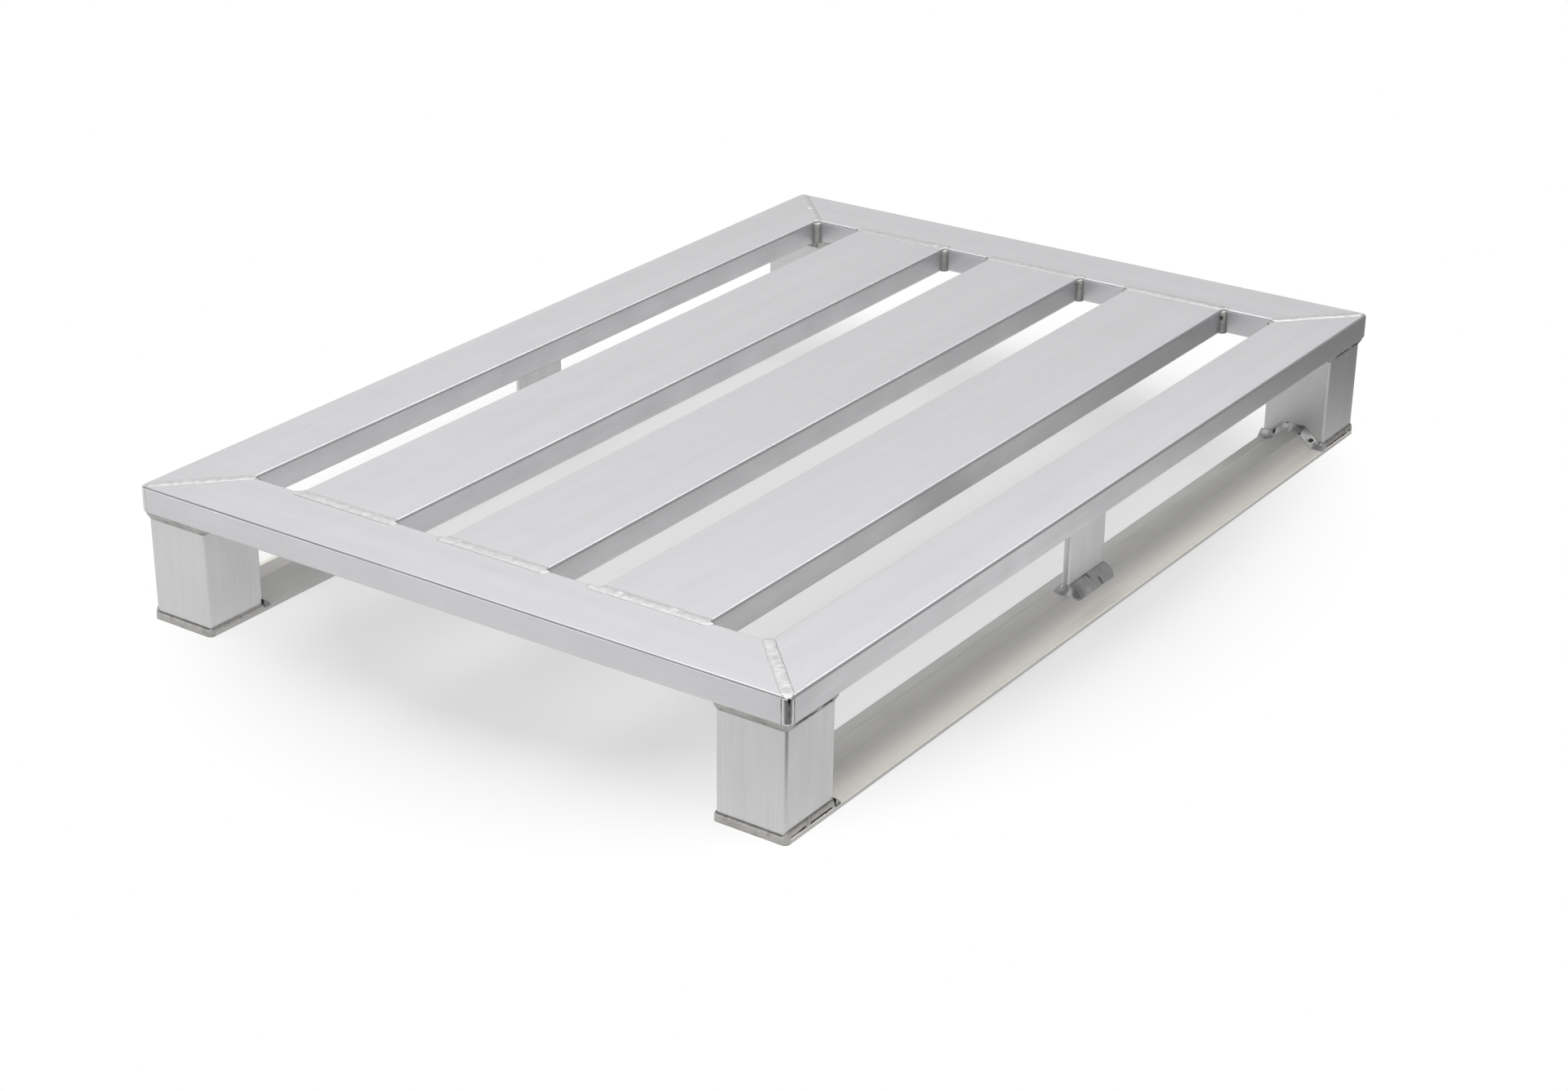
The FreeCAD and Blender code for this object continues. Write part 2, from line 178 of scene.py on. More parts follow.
def mill_aluminium(name, axis, colour, roughness, metallic=1.0, lip_light_colour=None):
    """Extruded aluminium whose draw lines run along one axis of the frame."""
    material, tree, output = new_material(name)
    place = add_node(tree, "ShaderNodeTexCoord").outputs["Object"]
    across = 1000 / LINE_MM
    fine_scale = [across / LINE_LENGTHS if i == axis else across for i in range(3)]
    broad_scale = [BANDS_ALONG if i == axis else BANDS_ACROSS for i in range(3)]
    fine_place = add_node(tree, "ShaderNodeMapping", {"Vector": place, "Scale": fine_scale})
    broad_place = add_node(tree, "ShaderNodeMapping", {"Vector": place, "Scale": broad_scale})
    fine = add_node(tree, "ShaderNodeTexNoise", {
        "Vector": fine_place.outputs[0], "Scale": 1.0, "Detail": 2.0, "Roughness": 0.6})
    broad = add_node(tree, "ShaderNodeTexNoise", {
        "Vector": broad_place.outputs[0], "Scale": 1.0, "Detail": 3.0, "Roughness": 0.5})
    cloud = add_node(tree, "ShaderNodeTexNoise", {
        "Vector": place, "Scale": 1000 / CLOUD_MM, "Detail": 3.0, "Roughness": 0.5})

    # The three patterns together darken the colour a little.
    base = linear(colour)
    darker = [c * LINE_DARKNESS for c in base[:3]] + [1.0]
    lines = add_node(tree, "ShaderNodeMix", {
        "Factor": 0.5, "A": broad.outputs["Fac"], "B": fine.outputs["Fac"]}, data_type="FLOAT")
    lines = add_node(tree, "ShaderNodeMix", {
        "Factor": 0.3, "A": lines.outputs[0], "B": cloud.outputs["Fac"]}, data_type="FLOAT")
    depth = add_node(tree, "ShaderNodeMapRange", {
        "Value": lines.outputs[0], "From Min": 0.35, "From Max": 0.65,
        "To Min": 0.0, "To Max": 1.0})
    tint = add_node(tree, "ShaderNodeMix", {
        "Factor": depth.outputs[0], "A": base, "B": darker}, data_type="RGBA").outputs[2]
    # A runner's lip gets a paler colour as painted light.
    if lip_light_colour:
        tint = with_painted_lip_light(tree, place, tint, lip_light_colour)

    # The lines and the clouds also make the gloss uneven.
    rough_fine = add_node(tree, "ShaderNodeMapRange", {
        "Value": fine.outputs["Fac"], "From Min": 0.3, "From Max": 0.7,
        "To Min": roughness - 0.04, "To Max": roughness + 0.04})
    rough_cloud = add_node(tree, "ShaderNodeMapRange", {
        "Value": cloud.outputs["Fac"], "From Min": 0.3, "From Max": 0.7,
        "To Min": -0.03, "To Max": 0.03})
    rough = add_node(tree, "ShaderNodeMath", {
        0: rough_fine.outputs[0], 1: rough_cloud.outputs[0]}, operation="ADD")
    bump = add_node(tree, "ShaderNodeBump", {
        "Strength": 0.25, "Distance": LINE_DEPTH, "Height": fine.outputs["Fac"]})
    shader = add_node(tree, "ShaderNodeBsdfPrincipled", {
        "Base Color": tint, "Metallic": metallic,
        "Roughness": rough.outputs[0], "Normal": bump.outputs[0]})
    tree.links.new(shader.outputs[0], output.inputs["Surface"])
    return material


print("draw lines in a metre:", round(1000 / LINE_MM), "clouds:", round(1000 / CLOUD_MM))

# %% [markdown]
# ## The four finishes
# Lengthwise, crosswise and upright bars differ mainly in how their lines run.
# The runners lie near the ground and are duller: a skin of oxide scatters the
# light as chalk does. That is why they are rougher than the tubes, and why less
# than half of their look is metallic, while pure metal is always 1.

# %% Finishes
X, Y, Z = 0, 1, 2
along_x = mill_aluminium("aluminium_mill_finish_lengthwise", X, "#CDCDCF", roughness=0.4)
along_y = mill_aluminium("aluminium_mill_finish_crosswise", Y, "#CDCDCF", roughness=0.4)
along_z = mill_aluminium("aluminium_mill_finish_upright", Z, "#CBCBCC", roughness=0.42)
# The runners' pale lip colour is painted light.
oxidised = mill_aluminium("aluminium_mill_finish_dull_runner", X, "#CBCAC8", roughness=0.6,
                          metallic=0.42, lip_light_colour="#FBF8F0")
finishes = {"side_tube": along_x, "end_tube": along_y, "slat": along_x, "runner": oxidised}
for name in nodes:
    finish = next((f for family, f in finishes.items() if name.startswith(family)), along_z)
    scene.objects[name].data.materials.clear()
    scene.objects[name].data.materials.append(finish)
print("finishes", {family: f.name for family, f in finishes.items()}, "others", along_z.name)

# %% [markdown]
# ## Weld beads
# A weld bead is a row of small frozen pools, each laid over the one before, so
# its face is scalloped and its toes are wavy. A bump map would fake the ripples
# and leave a straight outline. So a bead is built as a run of closed sections,
# and the seen side of each section is pressed in between the ripples, which adds
# nothing to the pallet's size.
# All numbers are millimetres until a piece is made. Real ripples lie about 2 mm
# apart, and here they are 2.3 to 3 mm apart, so that they show.
# `wander` is a fixed sum of sines, so every run gives the same uneven beads.

# %% Uneven but repeatable
def wander(u, v, seed):
    """Smooth repeatable irregularity between about -1 and 1."""
    waves = [np.sin(u * (0.37 + 0.41 * i) + v * (1.3 - 0.6 * i) + seed * (1.9 + i) + 1.3 * i)
             for i in range(5)]
    return sum(waves) / 3.0


print("wander", [round(float(wander(u, 0, 0)), 2) for u in range(5)])

# %% [markdown]
# ### Ripples
# `spaced` walks a line in even steps, and `rippled` repeats a section at each
# step. A ripple is an arc across the bead, bowed back at the toes as a pool
# freezes, and its press fades out before the toes so that the joint stays shut.

# %% Ripples
BEAD_STEP = 0.42                # millimetres between sections


def spaced(points, step, angles=None):
    """Points every step along a polyline, with angles carried along."""
    points = np.asarray(points, float)
    reach = np.concatenate([[0], np.cumsum(np.linalg.norm(np.diff(points, axis=0), axis=1))])
    along = np.linspace(0, reach[-1], max(3, round(reach[-1] / step) + 1))
    found = np.stack([np.interp(along, reach, axis) for axis in points.T], axis=1)
    return (along, found) if angles is None else (along, found, np.interp(along, reach, angles))


def rippled(section, seen, along, pitch, depth, seed, bow=0.7, smooth_toe=0.16, lumps=0.1):
    """Sections along a bead; the first seen points carry stacked ripples."""
    section = np.asarray(section, float)
    face = section[:seen]
    tangent = np.gradient(face, axis=0)
    normal = np.stack([tangent[:, 1], -tangent[:, 0]], axis=1)
    normal /= np.linalg.norm(normal, axis=1, keepdims=True)
    if np.sum(normal * (face - section[seen:].mean(axis=0))) < 0:
        normal = -normal
    across = np.linspace(-1, 1, seen)[None, :]
    s = along[:, None]
    # A ripple strays by a third of a pitch over about 7 mm; its strength changes
    # over 4 mm, and small lumps over 2 mm.
    phase = s / pitch + bow * across ** 2 + 0.35 * wander(s / 7, across, seed)
    part = phase - np.floor(phase)
    scallop = 1 - (2 * part - 1) ** 2
    weight = np.clip((1 - np.abs(across)) / smooth_toe - 0.6, 0, 1)
    strength = 0.6 + 0.6 * wander(s / 4, across * 2, seed + 5)
    lumpy = lumps * (1 + wander(s / 2, across * 3, seed + 9)) / 2
    press = depth * strength * (1 - scallop) + lumpy
    moved = np.repeat(section[None], len(along), axis=0)
    moved[:, :seen] -= (np.maximum(press, 0) * weight)[..., None] * normal
    return moved


print("sections in 100 mm of bead", len(spaced([(0, 0, 0), (100, 0, 0)], BEAD_STEP)[0]))

# %% [markdown]
# ### Sections, soot and painted shade
# `crowned` rounds a section's corners, `swept` lays the sections along a path,
# and the third function says how dark each point is. The torch leaves soot as a
# thin haze with a few thick spots, so the two are mixed by taking the darker.
# Where a bead lies in shade, as under the deck, the same patches are made darker,
# and there they are painted shade as well as soot.

# %% Sections, soot and painted shade
def swept(path, outs, ups, sections):
    """Rings of points from sections laid at each place of a path."""
    return (path[:, None] + outs[:, None] * sections[..., 0, None]
            + ups[:, None] * sections[..., 1, None])


def crowned(points, step=0.6):
    """Smooth curve through a section's corners, sampled evenly."""
    points = np.asarray(points, float)
    knots = np.concatenate([[0], np.cumsum(np.linalg.norm(np.diff(points, axis=0), axis=1))])
    at = np.linspace(0, knots[-1], max(6, round(knots[-1] / step)))
    bent = np.stack([np.interp(at, knots, axis) for axis in points.T], axis=1)
    for _ in range(3):
        bent[1:-1] = (bent[:-2] + 2 * bent[1:-1] + bent[2:]) / 4
    return bent


def soot_and_shade_of(along, count, amount, seed):
    """Soot in soft patches along a bead; a larger amount adds painted shade."""
    across = np.linspace(-1, 1, count)[None, :]
    # The haze changes over about 9 mm, and the spots over 3 mm.
    haze = 0.3 + 0.3 * wander(along[:, None] / 9, across * 1.5, seed + 4)
    spots = np.clip(3.5 * wander(along[:, None] / 3, across * 3, seed + 3) - 2.1, 0, 1)
    return np.clip(amount * np.maximum(haze, spots), 0, 1)


print("points on a rounded corner", len(crowned([(0, 5), (4, 4), (5, 0)])))

# %% [markdown]
# ### One piece from several beads
# A CAD weld node often stands for several beads, such as the three at one mitred
# corner. They become one mesh, in metres, with a finish for each bead and a value
# at each point that darkens it: soot, painted shade and painted dark reflections.
# The same corner is mirrored to make the other three.

# %% One piece from several beads
def make_weld(node, shells, mirror):
    """Bead piece that stands for one CAD weld, mirrored in X and Y as asked."""
    points, faces, soot, kinds = [], [], [], []
    for (rings, closed, dirt_and_painted_dark), finish in shells:
        start = sum(len(p) for p in points)
        count, size = rings.shape[:2]
        index = np.arange(count * size).reshape(count, size) + start
        here, ahead = (index, np.roll(index, -1, 0)) if closed else (index[:-1], index[1:])
        quads = np.stack([here, np.roll(here, -1, 1), np.roll(ahead, -1, 1), ahead], axis=-1)
        faces += quads.reshape(-1, 4).tolist()
        if not closed:
            faces += [index[0][::-1].tolist(), index[-1].tolist()]
        kinds += [finish] * (len(faces) - len(kinds))
        points.append((rings * (mirror[0], mirror[1], 1)).reshape(-1, 3) / 1000)
        soot.append(np.broadcast_to(dirt_and_painted_dark, (count, size)).ravel())
    mesh = bpy.data.meshes.new(node + "_bead")
    mesh.from_pydata(np.concatenate(points).tolist(), [], faces)
    work = bmesh.new()
    work.from_mesh(mesh)
    bmesh.ops.recalc_face_normals(work, faces=work.faces)
    work.to_mesh(mesh)
    work.free()
    mesh.shade_smooth()
    layer = mesh.attributes.new("soot", "FLOAT", "POINT")
    layer.data.foreach_set("value", np.concatenate(soot).astype(np.float32))
    used = list(dict.fromkeys(kinds))
    for finish in used:
        mesh.materials.append(finish)
    mesh.polygons.foreach_set("material_index", [used.index(k) for k in kinds])
    piece = bpy.data.objects.new(node + "_bead", mesh)
    scene.collection.objects.link(piece)
    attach(piece, "root")
    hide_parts(node)


print("CAD welds to stand for", sum(name.count("_weld") for name in nodes))

# %% [markdown]
# ## Weld metal
# Weld metal is aluminium that froze in the open air, untouched by a die, so it is
# brighter and smoother than the bars. To the eye it is a row of small sharp
# glints. Soot from the torch lies in its hollows as dark grey patches. The beads
# carry a value at each point, which the material mixes in as a dark colour, along
# with blotches about 6 mm wide. That value is partly soot. It is also painted shade
# in clefts, in creases and under the deck, and painted dark reflections down the
# polished outer corners. Real grain is finer than 0.2 mm, and it is drawn
# at 1.1 mm so that it shows.
# Three grades are needed: clean runs on the deck, sooty fillets below it, and the
# outer corners, which were ground smooth.

# %% Weld metal
GRAIN_MM = 1.1
BLOTCH_MM = 6.25
# The dark colour used for both soot and painted shade.
SOOT_AND_PAINTED_DARK_COLOUR = "#34322F"


def weld_aluminium(name, colour, smoothest, roughest):
    """Weld metal of one colour; a value at each point, of soot and painted shade, darkens it."""
    material, tree, output = new_material(name)
    place = add_node(tree, "ShaderNodeTexCoord").outputs["Object"]
    # A value at each point: soot, painted shade and painted dark reflections.
    soot = add_node(tree, "ShaderNodeAttribute", attribute_name="soot").outputs["Fac"]
    grain = add_node(tree, "ShaderNodeTexNoise", {
        "Vector": place, "Scale": 1000 / GRAIN_MM, "Detail": 2.0})
    blotch = add_node(tree, "ShaderNodeTexNoise", {
        "Vector": place, "Scale": 1000 / BLOTCH_MM, "Detail": 3.0})
    shade = add_node(tree, "ShaderNodeMapRange", {
        "Value": blotch.outputs["Fac"], "From Min": 0.35, "From Max": 0.7,
        "To Min": 0.0, "To Max": 0.22})
    soot_dark_and_blotches = add_node(tree, "ShaderNodeMath", {0: soot, 1: shade.outputs[0]}, operation="MAXIMUM")
    tint = add_node(tree, "ShaderNodeMix", {
        "Factor": soot_dark_and_blotches.outputs[0], "A": linear(colour), "B": linear(SOOT_AND_PAINTED_DARK_COLOUR)},
        data_type="RGBA")
    roughness = add_node(tree, "ShaderNodeMapRange", {
        "Value": grain.outputs["Fac"], "From Min": 0.3, "From Max": 0.7,
        "To Min": smoothest, "To Max": roughest})
    bump = add_node(tree, "ShaderNodeBump", {
        "Strength": 0.3, "Distance": 0.0001, "Height": grain.outputs["Fac"]})
    shader = add_node(tree, "ShaderNodeBsdfPrincipled", {
        "Base Color": tint.outputs[2], "Metallic": 1.0,
        "Roughness": roughness.outputs[0], "Normal": bump.outputs[0]})
    tree.links.new(shader.outputs[0], output.inputs["Surface"])
    return material


bright_bead = weld_aluminium("weld_bead_bright", "#CDCDCE", smoothest=0.28, roughest=0.44)
smutted_bead = weld_aluminium("weld_bead_smutted", "#B2B0AD", smoothest=0.32, roughest=0.52)
polished_bead = weld_aluminium("weld_corner_polished", "#DADADB", smoothest=0.22, roughest=0.32)
print("weld metals", [m.name for m in (bright_bead, smutted_bead, polished_bead)])

# %% [markdown]
# ## Kinds of bead
# Five kinds of bead join this pallet. Each function below returns three things:
# its rings of points, whether the rings close on themselves, and the soot.
# ### Along a flat joint
# This is the bead over a mitre or across a slat's end: a low crown let into the
# tubes. It is rounded off at both ends, and its two half widths may change along
# it, for a joint that is wider on one side.

# %% Bead along a flat joint
BUTT_HALF = 6.0                 # the section is drawn this wide and then scaled
BUTT_ROOT = [(BUTT_HALF, -1.2), (2.4, -1.8), (-2.4, -1.8), (-BUTT_HALF, -1.2)]


def butt_bead(start, end, side, low_half, high_half, crown, pitch, depth, seed, soot_and_shade_amount):
    """Bead on a flat joint; its half widths on either hand may vary along it."""
    along, path = spaced([start, end], BEAD_STEP)
    across = np.linspace(-1, 1, 19)
    # The crown is a little fuller than a parabola.
    face = np.stack([across * BUTT_HALF, crown * (1 - across ** 2) ** 0.8], axis=1)
    section = np.concatenate([face, BUTT_ROOT])
    sections = rippled(section, len(across), along, pitch, depth, seed, smooth_toe=0.26)
    edge = np.clip(np.minimum(along, along[-1] - along) / BUTT_HALF, 0.02, 1)
    plump = np.sqrt(1 - (1 - edge) ** 2)[:, None]
    low, high = [np.interp(along, *half)[:, None] / BUTT_HALF for half in (low_half, high_half)]
    wavy = 1 + 0.05 * (1 + wander(along[:, None] / 8, np.sign(sections[..., 0]), seed + 2))
    sections[..., 0] *= plump * wavy * np.where(sections[..., 0] > 0, high, low)
    sections[..., 1] *= np.where(sections[..., 1] > 0, plump, 1)
    outs = np.tile(np.array(side, float), (len(along), 1))
    ups = np.tile((0.0, 0.0, 1.0), (len(along), 1))
    return swept(path, outs, ups, sections), False, soot_and_shade_of(along, len(section), soot_and_shade_amount, seed)


print("flat bead", 2 * BUTT_HALF, "mm wide before it is scaled")

# %% [markdown]
# ### Up an inner corner
# Where a slat or a tube meets an end tube, a quarter-round bead runs up the
# corner. It was laid upward, so its rings are stacked like coins, its top is a
# small dome, and the soot stops short of the top.

# %% Bead up an inner corner
CORNER_ROOT = 1.2               # how far the bead reaches into the metal


def corner_bead(x, y, radius, across_sign, low, high, pitch, depth, seed, soot_and_shade_amount):
    """Quarter-round bead up an inner corner, its rings stacked, its top domed."""
    along, path = spaced([(x, y, low), (x, y, high)], BEAD_STEP)
    angles = np.linspace(-0.06, math.pi / 2 + 0.06, 15)
    face = np.stack([radius * np.cos(angles), radius * np.sin(angles)], axis=1)
    section = np.concatenate([face, [
        (-CORNER_ROOT, radius * 0.9), (-CORNER_ROOT, -CORNER_ROOT), (radius * 0.9, -CORNER_ROOT)]])
    sections = rippled(section, len(angles), along, pitch, depth, seed, bow=0.5, smooth_toe=0.1)
    dome = np.sqrt(1 - np.clip(1 - (along[-1] - along) / 3.5, 0, 0.97) ** 2)[:, None]
    sections[:, :len(angles)] *= dome[..., None]
    outs = np.tile((1.0, 0.0, 0.0), (len(along), 1))
    ups = np.tile((0.0, float(across_sign), 0.0), (len(along), 1))
    dirt_and_painted_dark = soot_and_shade_of(along, len(section), soot_and_shade_amount, seed)
    dirt_and_painted_dark *= np.clip((along[-1] - 3 - along) / 4, 0, 1)[:, None]
    return swept(path, outs, ups, sections), False, dirt_and_painted_dark


print("inner corner bead reaches", CORNER_ROOT, "mm into the metal")

# %% [markdown]
# ### Down an outer corner
# The deck's outer corners are welded too, then ground nearly flush. What is left
# is a rounded corner with a soft groove at each toe, a shallow valley between and
# a small chip near the top. Polished metal shows dark streaks where it mirrors
# something dark, and this white studio has nothing dark there, so they are painted
# dark reflections: a grey streak down the valley, a dark spot at the chip and lines
# along the toes. Rings are laid level, one above the other, and their corners
# follow the tubes' rounded rims.

# %% Bead down an outer corner
FRONT, RIGHT, TOP, DECK = -600.0, -400.0, 150.0, 121.0     # the deck's faces
VALLEY = 0.08                   # where the valley runs, from -1 to 1 round the corner


def outer_corner_bead(reach, radius, rim, low, high, seed):
    """Smooth bead down the deck's outer corner, flush with both tubes."""
    rises = np.concatenate([np.arange(low, high - rim, 0.5),
                            high - rim * (1 - np.sin(np.linspace(0, math.pi / 2, 8)))])
    round_top = rim - np.sqrt(rim ** 2 - np.clip(rises - high + rim, 0, rim) ** 2)
    round_foot = rim - rim * np.sqrt(1 - (1 - np.clip((rises - low) / rim, 0, 1)) ** 2)
    rings, soot = [], []
    for z, back in zip(rises, round_top + round_foot):
        # One level ring: straight, round the corner, straight.
        turn = np.linspace(0, math.pi / 2, 21)
        bend = radius - back
        straight = np.linspace(reach, radius, 6)[:-1]
        arc = zip(radius - bend * np.cos(turn), radius - bend * np.sin(turn))
        line = np.array([(back, s) for s in straight] + list(arc)
                        + [(s, back) for s in straight[::-1]])
        # Grooves and valley, pressed in along the corner's diagonal.
        u = np.linspace(-1, 1, len(line))
        uneven = 1 + 0.5 * wander(z / 5, u, seed)
        toes = 0.5 * np.exp(-(((np.abs(u) - 0.82) / 0.08) ** 2)) * uneven
        valley = 0.45 * np.exp(-(((u - VALLEY - 0.04 * wander(z / 4, 0, seed)) / 0.1) ** 2))
        line += np.maximum(toes + valley, 0)[:, None] / math.sqrt(2)
        # Painted dark reflections: a spot at the chip, a streak down the valley, lines at the toes.
        chip = np.clip((z - high + 11) / 8, 0, 1) * (z < high - 1.2)
        chip_dark_reflection = np.clip((0.2 * chip - np.abs(u - VALLEY)) * 14, 0, 1)
        valley_dark_reflection = 0.4 * np.exp(-(((u - VALLEY) / 0.09) ** 2)) * (0.6 + 0.5 * wander(z / 3, 0, seed))
        toe_dark_reflection = 0.55 * np.exp(-(((np.abs(u) - 0.84) / 0.12) ** 2))
        rings.append([(FRONT + p, RIGHT + q, z) for p, q in line]
                     + [(FRONT + reach, RIGHT + reach, z)])
        soot.append(np.append(np.maximum(np.maximum(chip_dark_reflection, valley_dark_reflection), toe_dark_reflection), 0))
    return np.array(rings), False, np.array(soot)


print("outer corner", TOP - DECK, "mm high")

# %% [markdown]
# ### Round a leg
# A leg is welded all the way round, under the deck and at its foot. The path is
# a rectangle with rounded corners, and the section is a list of points, each so
# far outward and so high. On a corner leg's outward side, both beads are split by
# a cleft, where two passes did not melt together: `cleft` gives its length,
# height and depth. The cleft is pressed in, and the shade inside it is painted in
# as a dark value. `lift` makes the bead taller on that side. A thin dark line at
# each toe, where the bead meets the bar, is part soot and part painted shade in
# the crease.

# %% Bead round a leg
def round_bead(centre, size, radius, section, seen, pitch, depth, seed, soot_and_shade_amount,
               lumps=0.1, cleft=None, lift=1.0):
    """Closed bead round an upright; its section is (outward, height) points."""
    # Seven points round each of the four corners, 15 degrees apart.
    corners, angles = [], []
    for k, (u, v) in enumerate(((1, 1), (-1, 1), (-1, -1), (1, -1))):
        for step in range(7):
            angle = math.radians(90 * k + 15 * step)
            corners.append((centre[0] + u * (size[0] / 2 - radius) + radius * math.cos(angle),
                            centre[1] + v * (size[1] / 2 - radius) + radius * math.sin(angle), 0))
            angles.append(angle)
    along, path, turn = spaced(corners + corners[:1], BEAD_STEP, angles + [2 * math.pi])
    whole = along[-1]
    along, path, turn = along[:-1], path[:-1], turn[:-1]
    outs = np.stack([np.cos(turn), np.sin(turn), 0 * turn], axis=1)
    ups = np.tile((0.0, 0.0, 1.0), (len(along), 1))
    even_pitch = whole / round(whole / pitch)    # so that the last ripple meets the first
    sections = rippled(section, seen, along, even_pitch, depth, seed, lumps=lumps)
    dirt_and_painted_dark = soot_and_shade_of(along, len(section), soot_and_shade_amount, seed)
    # On the outward side, what stands above 5 mm is stretched upward.
    over = np.clip(-outs[:, 1:2], 0, 1) * np.maximum(sections[..., 1] - 5.0, 0)
    sections[..., 1] += over * (lift - 1)
    if cleft:
        length, height, cleft_depth = cleft
        on_side = (outs[:, 1] < -0.99) & (np.abs(path[:, 0] - centre[0]) < length / 2)
        level = height + 0.5 * wander(along / 9, 0, seed + 1)
        near = np.exp(-(((sections[..., 1] - level[:, None]) / 1.1) ** 2))
        ragged = np.clip(1.25 + 0.9 * wander(along / 5, 0, seed), 0, 1)
        opening = near * (on_side * ragged)[:, None]
        sections[..., 0] -= cleft_depth * opening
        # Painted shade inside the cleft.
        dirt_and_painted_dark = np.maximum(dirt_and_painted_dark, np.clip(2.4 * opening, 0, 1))
    # At each toe, a line of soot and painted shade in the crease.
    toe_soot_and_shade = np.clip(0.42 + 0.3 * wander(along / 6, 0, seed + 6), 0, 1)[:, None]
    for toe in (slice(0, 2), slice(seen - 2, seen)):
        dirt_and_painted_dark[:, toe] = np.maximum(dirt_and_painted_dark[:, toe], toe_soot_and_shade)
    return swept(path, outs, ups, sections), True, dirt_and_painted_dark


print("sections round a 77 mm leg", round(4 * 77 / BEAD_STEP))

# %% [markdown]
# ### Over the runner's ridge
# On its inner side a corner leg stands across the runner, so the bead climbs the
# ridge: along the flange, up the slope, over the top and down again. The outline
# is the runner's own, from the CAD, and the directions are smoothed so that the
# bead does not crease where the slope begins.

# %% Bead over the runner's ridge
RUNNER_OUTLINE = [(41, 5), (31, 5), (27.5, 5.5), (24.5, 7.3), (12.6, 19.1), (11, 20), (0, 20)]


def ridge_bead(x, axis, reach, pitch, depth, seed, soot_and_shade_amount):
    """Fillet bead where a leg's inner face stands on the runner."""
    outline = ([(0, axis - y, z) for y, z in RUNNER_OUTLINE]
               + [(0, axis + y, z) for y, z in RUNNER_OUTLINE[-2::-1]])
    along, path = spaced(outline, BEAD_STEP)
    tangent = np.gradient(path, axis=0)
    for _ in range(12):
        tangent[1:-1] = (tangent[:-2] + tangent[1:-1] + tangent[2:]) / 3
    ups = np.stack([0 * along, -tangent[:, 2], tangent[:, 1]], axis=1)
    ups /= np.linalg.norm(ups, axis=1, keepdims=True)
    path[:, 0] = x
    face = crowned([(0, reach), (reach * 0.42, reach * 0.72),
                    (reach * 0.75, reach * 0.4), (reach, 0)], 0.7)
    section = np.concatenate([face, [(reach, -0.8), (-0.8, -0.8), (-0.8, reach)]])
    sections = rippled(section, len(face), along, pitch, depth, seed, lumps=0.5)
    outs = np.tile((1.0, 0.0, 0.0), (len(along), 1))
    return swept(path, outs, ups, sections), False, soot_and_shade_of(along, len(section), soot_and_shade_amount, seed)


print("ridge", 2 * RUNNER_OUTLINE[4][0], "mm wide at", RUNNER_OUTLINE[4][1], "mm up")

# %% [markdown]
# ## Beads at the corners
# Each corner has a bead over the mitre, one down the outside, one up the inside,
# one round the leg under the deck, one round its foot and one over the ridge.
# The sections round the leg are drawn point by point, since a plain fillet has
# neither their rounded top nor their steep foot. The corner is described in
# millimetres, at the front right.

# %% Corner sections and places
JOINT_X, JOINT_Y = -516.0, -320.0             # inner corner of the mitred tubes
RUNNER_MIDDLE, LEG_INNER_FACE = -356.0, -517.5
LEG = {"centre": (-556.0, RUNNER_MIDDLE), "size": (77.0, 77.0), "radius": 3.0}
INNER_LOW, INNER_HIGH = DECK + 0.2, 149.0     # where the inner corner beads end

leg_top_face = crowned([(0.0, 113.0), (1.6, 115.2), (3.5, 118.4), (4.5, 120.8),
                        (4.3, 122.4), (3.0, 123.9), (-2.8, 124.5)])
leg_top = {
    "section": np.concatenate([leg_top_face, [(-2.8, 121.0), (-0.9, 118.0), (-0.9, 112.8)]]),
    "seen": len(leg_top_face)}
foot_face = crowned([(2.45, 0.0), (2.5, 2.5), (2.5, 5.6), (2.0, 7.8), (0.9, 9.0), (0.0, 9.2)], 0.5)
leg_foot = {
    "section": np.concatenate([foot_face, [(-0.9, 9.2), (-0.9, 0.0)]]),
    "seen": len(foot_face)}

# The mitre runs from the deck's corner to the tubes' inner corner, 84 by 80 mm.
heading = np.array([84.0, 80.0, 0.0]) / math.hypot(84.0, 80.0)
mitre = {
    "start": np.array([FRONT, RIGHT, TOP]) + heading * 6.5,
    "end": np.array([JOINT_X, JOINT_Y, TOP]) + heading * 3.0,
    "side": (heading[1], -heading[0], 0),
    "low_half": ([0, 200], [6.1, 6.1]), "high_half": ([0, 200], [6.1, 6.1])}
print("mitre bead", round(float(np.linalg.norm(mitre["end"] - mitre["start"]))), "mm long")

# %% [markdown]
# The other three corners are mirror images of the first. Each gets a seed of its
# own, because no two hand-laid beads have the same ripples.

